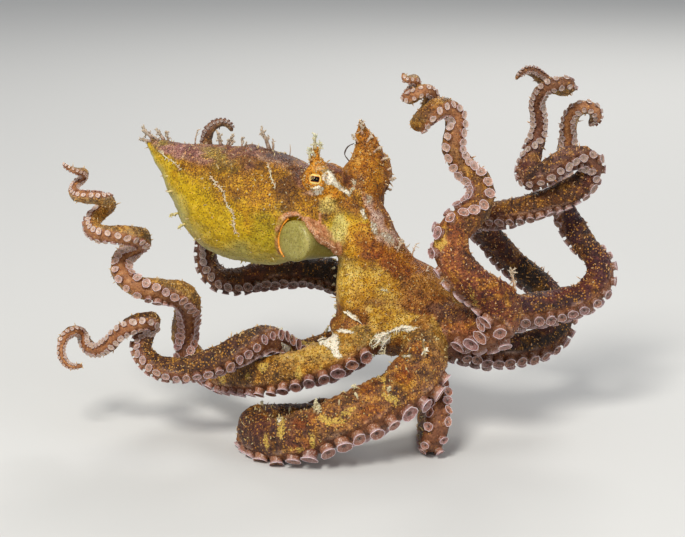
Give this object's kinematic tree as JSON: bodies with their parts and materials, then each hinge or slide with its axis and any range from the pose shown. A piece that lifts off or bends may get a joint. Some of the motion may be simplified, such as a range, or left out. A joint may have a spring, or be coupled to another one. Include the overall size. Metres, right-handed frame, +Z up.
{
  "type": "algae octopus",
  "caption": "Algae octopus walking on the seabed with two arms down and the others raised and curled, modelled as a still life-size figure.",
  "frame": {"origin": "centre of the overall box, at floor level", "axes": "+X from the mantle's side towards the raised right-hand arms, +Y away from the viewer, +Z up"},
  "size_m": [0.1384, 0.0615, 0.0918],
  "materials": {
    "mantle": "damp ochre-yellow skin with fine dark specks",
    "head": "damp orange-brown grained skin with pale patches",
    "crown": "damp brown-orange skin with dark specks",
    "siphon": "thin greenish-yellow translucent skin",
    "eye": "glossy pale eye with a black bar pupil",
    "arm": "damp brown skin with gold flecks and pale-rimmed suckers"
  },
  "bodies": {
    "root": {"arm_crown_left": "crown", "arm_crown_right": "crown", "arm_l1_1": "arm", "arm_l1_2": "arm", "arm_l1_3": "arm", "arm_l1_4": "arm", "arm_l1_5": "arm", "arm_l1_6": "arm", "arm_l2_1": "arm", "arm_l2_2": "arm", "arm_l2_3": "arm", "arm_l2_4": "arm", "arm_l2_5": "arm", "arm_l2_6": "arm", "arm_l2_7": "arm", "arm_l2_8": "arm", "arm_l3_1": "arm", "arm_l3_2": "arm", "arm_l3_3": "arm", "arm_l3_4": "arm", "arm_l3_5": "arm", "arm_l3_6": "arm", "arm_l4_1": "arm", "arm_l4_2": "arm", "arm_l4_3": "arm", "arm_l4_4": "arm", "arm_l4_5": "arm", "arm_l4_6": "arm", "arm_l4_7": "arm", "arm_r1_1": "arm", "arm_r1_2": "arm", "arm_r1_3": "arm", "arm_r1_4": "arm", "arm_r1_5": "arm", "arm_r1_6": "arm", "arm_r2_1": "arm", "arm_r2_2": "arm", "arm_r2_3": "arm", "arm_r2_4": "arm", "arm_r3_1": "arm", "arm_r3_2": "arm", "arm_r3_3": "arm", "arm_r4_1": "arm", "arm_r4_2": "arm", "arm_r4_3": "arm", "arm_r4_4": "arm", "arm_r4_5": "arm", "arm_r4_6": "arm", "arm_r4_7": "arm", "arm_r4_8": "arm", "eye_left": "eye", "eye_right": "eye", "head": "head", "mantle": "mantle", "siphon": "siphon"}
  },
  "joints": []
}
